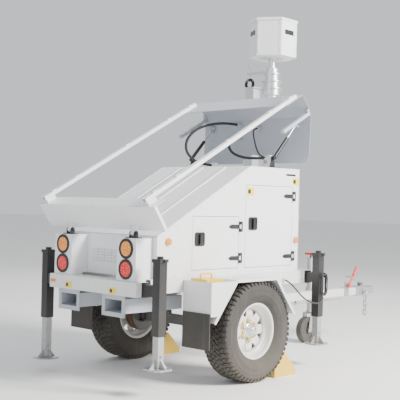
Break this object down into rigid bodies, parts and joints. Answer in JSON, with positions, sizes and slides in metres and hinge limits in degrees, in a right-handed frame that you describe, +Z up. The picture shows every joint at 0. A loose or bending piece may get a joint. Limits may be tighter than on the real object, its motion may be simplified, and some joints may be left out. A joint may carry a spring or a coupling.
{
  "type": "arrow board trailer",
  "caption": "Single-axle towable trailer with a sloped battery cabinet, tilting module frame, telescopic mast with a hexagonal head, corner jacks and jockey wheel.",
  "frame": {"origin": "on the ground under the middle of the overall length and width", "axes": "+X to the right-hand side, +Y forward to the coupling, +Z up"},
  "size_m": [1.49, 3.5891, 2.852],
  "materials": {
    "white_paint": "smooth white powder coat",
    "grey_paint": "pale grey powder coat",
    "black_paint": "satin black powder coat",
    "galvanised": "galvanised steel",
    "rim_white": "white painted steel",
    "tyre": "tread rubber",
    "rubber": "moulded rubber",
    "yellow_plastic": "yellow moulded plastic",
    "black_plastic": "black moulded plastic",
    "amber_lens": "amber ribbed lens",
    "red_lens": "red ribbed lens",
    "red_plastic": "red plastic grip",
    "brushed_steel": "bright steel",
    "aluminium": "natural aluminium",
    "cable_jacket": "black cable jacket"
  },
  "bodies": {
    "trailer": {"chassis_frame": "white_paint", "fork_pockets": "grey_paint", "drawbar": "white_paint", "axle_beam": "grey_paint", "leaf_springs": "black_paint", "mudguards": "white_paint", "mudflaps": "rubber", "stowed_chocks": "yellow_plastic", "jack_sleeves": "black_paint", "jockey_tube": "galvanised", "coupling": "galvanised", "top_cover": "white_paint", "body_tub": "white_paint", "side_panel_right": "white_paint", "side_panel_left": "white_paint", "hinge_leaves": "black_paint", "battery_bank": "black_plastic", "control_cabinet": "grey_paint", "lamp_boxes": "white_paint", "lamp_grommets": "rubber", "amber_lenses": "amber_lens", "red_lenses": "red_lens", "frame_pivots": "black_paint", "mast_base": "aluminium", "jack_coil": "cable_jacket", "jack_lead": "cable_jacket"},
    "wheel_right": {"tyre_right": "tyre", "rim_right": "rim_white"},
    "wheel_left": {"tyre_left": "tyre", "rim_left": "rim_white"},
    "door_rear": {"door_rear": "white_paint"},
    "door_front": {"door_front": "white_paint"},
    "latch_rear": {"latch_rear": "black_plastic"},
    "latch_front": {"latch_front": "black_plastic"},
    "jack_leg_rear_left": {"jack_leg_rear_left": "galvanised"},
    "jack_leg_rear_right": {"jack_leg_rear_right": "galvanised"},
    "jack_leg_front_left": {"jack_leg_front_left": "galvanised"},
    "jack_leg_front_right": {"jack_leg_front_right": "galvanised"},
    "jockey_handle": {"jockey_handle": "red_plastic"},
    "jockey_leg": {"jockey_leg": "galvanised"},
    "jockey_fork": {"jockey_fork": "galvanised"},
    "jockey_wheel": {"jockey_wheel": "rubber"},
    "coupling_handle": {"coupling_handle": "galvanised"},
    "handbrake_lever": {"handbrake_lever": "red_plastic"},
    "mast_stage_1": {"mast_stage_1": "aluminium"},
    "mast_stage_2": {"mast_stage_2": "aluminium"},
    "mast_stage_3": {"mast_stage_3": "aluminium", "head_enclosure": "white_paint", "mast_coil": "cable_jacket"},
    "module_frame": {"solar_frame": "white_paint", "frame_plate": "grey_paint", "conduit_left": "cable_jacket", "conduit_near": "cable_jacket", "lead_far": "cable_jacket"},
    "strut_body_right": {"strut_body_right": "black_paint"},
    "strut_rod_right": {"strut_rod_right": "brushed_steel"},
    "strut_body_left": {"strut_body_left": "black_paint"},
    "strut_rod_left": {"strut_rod_left": "brushed_steel"},
    "chock_right": {"chock_right": "yellow_plastic"},
    "chock_left": {"chock_left": "yellow_plastic"}
  },
  "joints": [
    {"name": "wheel_right_spin", "type": "hinge", "parent": "trailer", "child": "wheel_right", "pos_m": [0.62, -0.83, 0.3665], "axis": [1, 0, 0], "continuous": true},
    {"name": "wheel_left_spin", "type": "hinge", "parent": "trailer", "child": "wheel_left", "pos_m": [-0.62, -0.83, 0.3665], "axis": [1, 0, 0], "continuous": true},
    {"name": "door_rear_hinge", "type": "hinge", "parent": "trailer", "child": "door_rear", "pos_m": [0.485, -0.776, 0.99], "axis": [0, 0, 1], "range_deg": [0, 110]},
    {"name": "door_front_hinge", "type": "hinge", "parent": "trailer", "child": "door_front", "pos_m": [0.485, -0.14, 1.1], "axis": [0, 0, 1], "range_deg": [0, 110]},
    {"name": "latch_rear_turn", "type": "hinge", "parent": "door_rear", "child": "latch_rear", "pos_m": [0.476, -1.202, 1.02], "axis": [1, 0, 0], "range_deg": [0, 90]},
    {"name": "latch_front_turn", "type": "hinge", "parent": "door_front", "child": "latch_front", "pos_m": [0.476, -0.627, 1.13], "axis": [1, 0, 0], "range_deg": [0, 90]},
    {"name": "jack_rear_left_extend", "type": "slide", "parent": "trailer", "child": "jack_leg_rear_left", "axis": [0, 0, 1], "range_m": [-0.09, 0.13]},
    {"name": "jack_rear_right_extend", "type": "slide", "parent": "trailer", "child": "jack_leg_rear_right", "axis": [0, 0, 1], "range_m": [-0.177, 0.109]},
    {"name": "jack_front_left_extend", "type": "slide", "parent": "trailer", "child": "jack_leg_front_left", "axis": [0, 0, 1], "range_m": [-0.149, 0.13]},
    {"name": "jack_front_right_extend", "type": "slide", "parent": "trailer", "child": "jack_leg_front_right", "axis": [0, 0, 1], "range_m": [-0.175, 0.11]},
    {"name": "jockey_height", "type": "slide", "parent": "trailer", "child": "jockey_leg", "axis": [0, 0, 1], "range_m": [-0.05, 0.05]},
    {"name": "jockey_handle_turn", "type": "hinge", "parent": "trailer", "child": "jockey_handle", "pos_m": [-0.18, 1.013, 0.82], "axis": [0, 0, 1], "continuous": true},
    {"name": "jockey_swivel", "type": "hinge", "parent": "jockey_leg", "child": "jockey_fork", "pos_m": [-0.18, 1.013, 0.28], "axis": [0, 0, 1], "continuous": true},
    {"name": "jockey_wheel_spin", "type": "hinge", "parent": "jockey_fork", "child": "jockey_wheel", "pos_m": [-0.18, 0.968, 0.12], "axis": [1, 0, 0], "continuous": true},
    {"name": "coupling_handle_lift", "type": "hinge", "parent": "trailer", "child": "coupling_handle", "pos_m": [0, 1.603, 0.535], "axis": [1, 0, 0], "range_deg": [-60, 0]},
    {"name": "handbrake_pull", "type": "hinge", "parent": "trailer", "child": "handbrake_lever", "pos_m": [0.065, 1.293, 0.533], "axis": [1, 0, 0], "range_deg": [-45, 20]},
    {"name": "mast_stage_1_extend", "type": "slide", "parent": "trailer", "child": "mast_stage_1", "axis": [0, 0, 1], "range_m": [0, 1.2]},
    {"name": "mast_stage_2_extend", "type": "slide", "parent": "mast_stage_1", "child": "mast_stage_2", "axis": [0, 0, 1], "range_m": [0, 1.2]},
    {"name": "mast_stage_3_extend", "type": "slide", "parent": "mast_stage_2", "child": "mast_stage_3", "axis": [0, 0, 1], "range_m": [0, 1.2]},
    {"name": "module_frame_tilt", "type": "hinge", "parent": "trailer", "child": "module_frame", "pos_m": [0, -1.702, 1.058], "axis": [1, 0, 0], "range_deg": [0, 6]},
    {"name": "strut_right_swing", "type": "hinge", "parent": "trailer", "child": "strut_body_right", "pos_m": [0.45, -0.352, 1.64], "axis": [1, 0, 0], "range_deg": [0, 22.88]},
    {"name": "strut_right_slide", "type": "slide", "parent": "strut_body_right", "child": "strut_rod_right", "axis": [0, 0.6877, 0.726], "range_m": [0, 0.0892]},
    {"name": "strut_left_swing", "type": "hinge", "parent": "trailer", "child": "strut_body_left", "pos_m": [-0.45, -0.352, 1.64], "axis": [1, 0, 0], "range_deg": [0, 22.88]},
    {"name": "strut_left_slide", "type": "slide", "parent": "strut_body_left", "child": "strut_rod_left", "axis": [0, 0.6877, 0.726], "range_m": [0, 0.0892]},
    {"name": "chock_right_pull", "type": "slide", "parent": "trailer", "child": "chock_right", "axis": [0, 1, 0], "range_m": [0, 0.3]},
    {"name": "chock_left_pull", "type": "slide", "parent": "trailer", "child": "chock_left", "axis": [0, 1, 0], "range_m": [0, 0.3]}
  ],
  "couplings": [
    {"joint": "strut_right_swing", "follows": "module_frame_tilt", "ratio": 3.7805},
    {"joint": "strut_right_slide", "follows": "module_frame_tilt", "m_per_rad": 0.84266},
    {"joint": "strut_left_swing", "follows": "module_frame_tilt", "ratio": 3.7805},
    {"joint": "strut_left_slide", "follows": "module_frame_tilt", "m_per_rad": 0.84266}
  ]
}
